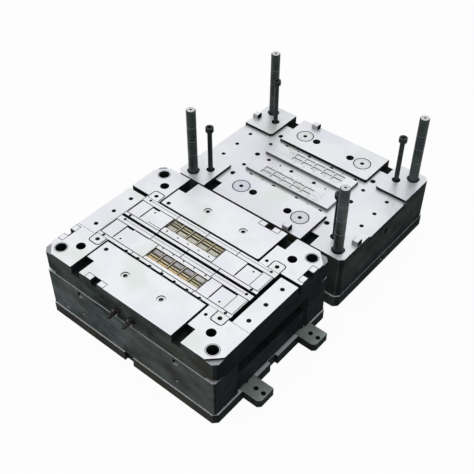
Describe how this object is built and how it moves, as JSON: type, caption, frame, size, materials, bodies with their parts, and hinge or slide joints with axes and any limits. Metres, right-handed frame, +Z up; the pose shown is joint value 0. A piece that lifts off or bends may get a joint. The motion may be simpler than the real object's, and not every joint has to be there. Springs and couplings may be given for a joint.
{
  "type": "injection mould",
  "caption": "Opened three-plate injection mould: moving half with core inserts, ejector plates and springs, and fixed half with guide pins, limit bolts and cavity plate, parting faces up.",
  "frame": {"origin": "centre of the knock-out hole in the bottom face of the moving clamp plate, on the plane that both halves stand on", "axes": "+Z up, out of the parting faces; +Y from the moving half to the fixed half; +X along the plates"},
  "size_m": [0.548, 0.836, 0.334],
  "materials": {
    "ground_steel": "ground bright",
    "plate_steel": "plain plate steel with ground faces and darker edges",
    "hardened_steel": "hardened and ground",
    "black_screw_steel": "black oxide",
    "grey_core_steel": "spark eroded, matt",
    "core_brass": "copper alloy core, matt",
    "plated_core": "copper alloy core, greenish",
    "nipple_brass": "tarnished brown",
    "spring_steel": "bright wire"
  },
  "bodies": {
    "moving_half": {"moving_clamp_plate": "plate_steel", "spacer_block_front": "plate_steel", "spacer_block_rear": "plate_steel", "core_plate": "plate_steel", "core_guide_bushes": "hardened_steel", "pressure_plate_front": "ground_steel", "pressure_plate_rear": "ground_steel", "core_end_blocks": "ground_steel", "core_filler_blocks": "ground_steel", "core_block_front": "ground_steel", "core_block_rear": "ground_steel", "core_tiles_steel": "grey_core_steel", "core_tiles_brass": "core_brass", "core_tiles_plated": "plated_core", "inner_rails": "ground_steel", "outer_rails": "ground_steel", "clamp_blocks": "ground_steel", "end_bar_left": "ground_steel", "end_bar_right": "ground_steel", "side_lock_sockets": "hardened_steel", "water_nipples": "nipple_brass", "clamp_lugs": "ground_steel", "lug_screws": "black_screw_steel", "support_pillars": "ground_steel", "stop_buttons": "hardened_steel", "spacer_screws": "black_screw_steel", "core_face_screws": "black_screw_steel", "core_rail_screws": "black_screw_steel", "pressure_plate_screws": "black_screw_steel", "return_springs": "spring_steel"},
    "ejector_set": {"ejector_plate": "plate_steel", "ejector_retainer": "plate_steel", "ejector_pins": "hardened_steel", "return_pins": "hardened_steel", "ejector_screws": "black_screw_steel"},
    "fixed_half": {"fixed_clamp_plate": "plate_steel", "guide_pins": "hardened_steel", "locating_ring": "ground_steel", "ring_screws": "black_screw_steel", "sprue_bush": "hardened_steel", "runner_puller_pins": "hardened_steel"},
    "stripper_set": {"stripper_plate": "plate_steel", "limit_bolts": "black_screw_steel", "stripper_bolts": "black_screw_steel"},
    "cavity_set": {"cavity_plate": "plate_steel", "cavity_guide_bushes": "hardened_steel", "cavity_pressure_front": "ground_steel", "cavity_pressure_rear": "ground_steel", "cavity_end_plates": "ground_steel", "cavity_block_front": "ground_steel", "cavity_block_rear": "ground_steel", "cavity_rails": "ground_steel", "stop_discs": "hardened_steel", "side_lock_tongues": "hardened_steel", "cavity_screws": "black_screw_steel", "disc_screws": "black_screw_steel", "cavity_plate_screws": "black_screw_steel"}
  },
  "joints": [
    {"name": "ejection", "type": "slide", "parent": "moving_half", "child": "ejector_set", "axis": [0, 0, 1], "range_m": [0, 0.035], "deforming": ["return_springs"]},
    {"name": "fixed_half_lift", "type": "slide", "parent": "moving_half", "child": "fixed_half", "axis": [0, 0, 1], "range_m": [0, 0.3]},
    {"name": "runner_stripping", "type": "slide", "parent": "fixed_half", "child": "stripper_set", "axis": [0, 0, 1], "range_m": [0, 0.008]},
    {"name": "cavity_opening", "type": "slide", "parent": "stripper_set", "child": "cavity_set", "axis": [0, 0, 1], "range_m": [0, 0.128]}
  ]
}
